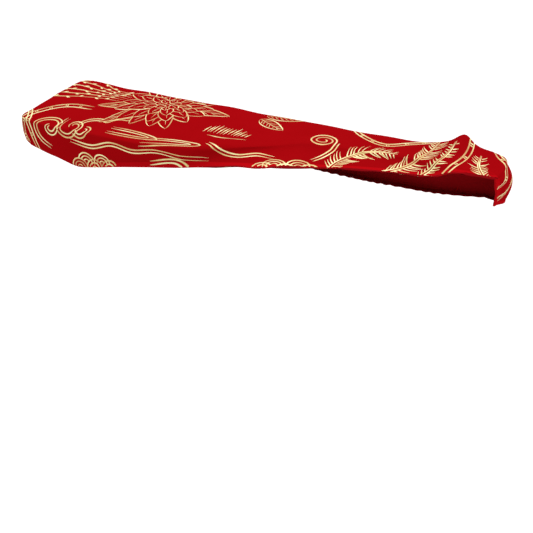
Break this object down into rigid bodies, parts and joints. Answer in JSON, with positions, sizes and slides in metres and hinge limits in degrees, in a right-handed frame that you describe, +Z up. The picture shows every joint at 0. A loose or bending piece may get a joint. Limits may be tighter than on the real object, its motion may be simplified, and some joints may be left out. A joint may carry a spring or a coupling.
{
  "type": "fitted piano keyboard cover",
  "caption": "Fitted stretch-cloth dust cover for a long keyboard: hollow, open below, with an elastic hem drawn back at one end.",
  "frame": {"origin": "under the flat rear half of the top, midway along it, where the instrument's top bears", "axes": "+X along the cover to its drawn-back end, +Y to the rear, +Z up"},
  "size_m": [1.3615, 0.3415, 0.1886],
  "materials": {
    "cloth": "soft matte stretch knit, deep red with fine gold line print"
  },
  "bodies": {
    "root": {"cover": "cloth"}
  },
  "joints": []
}
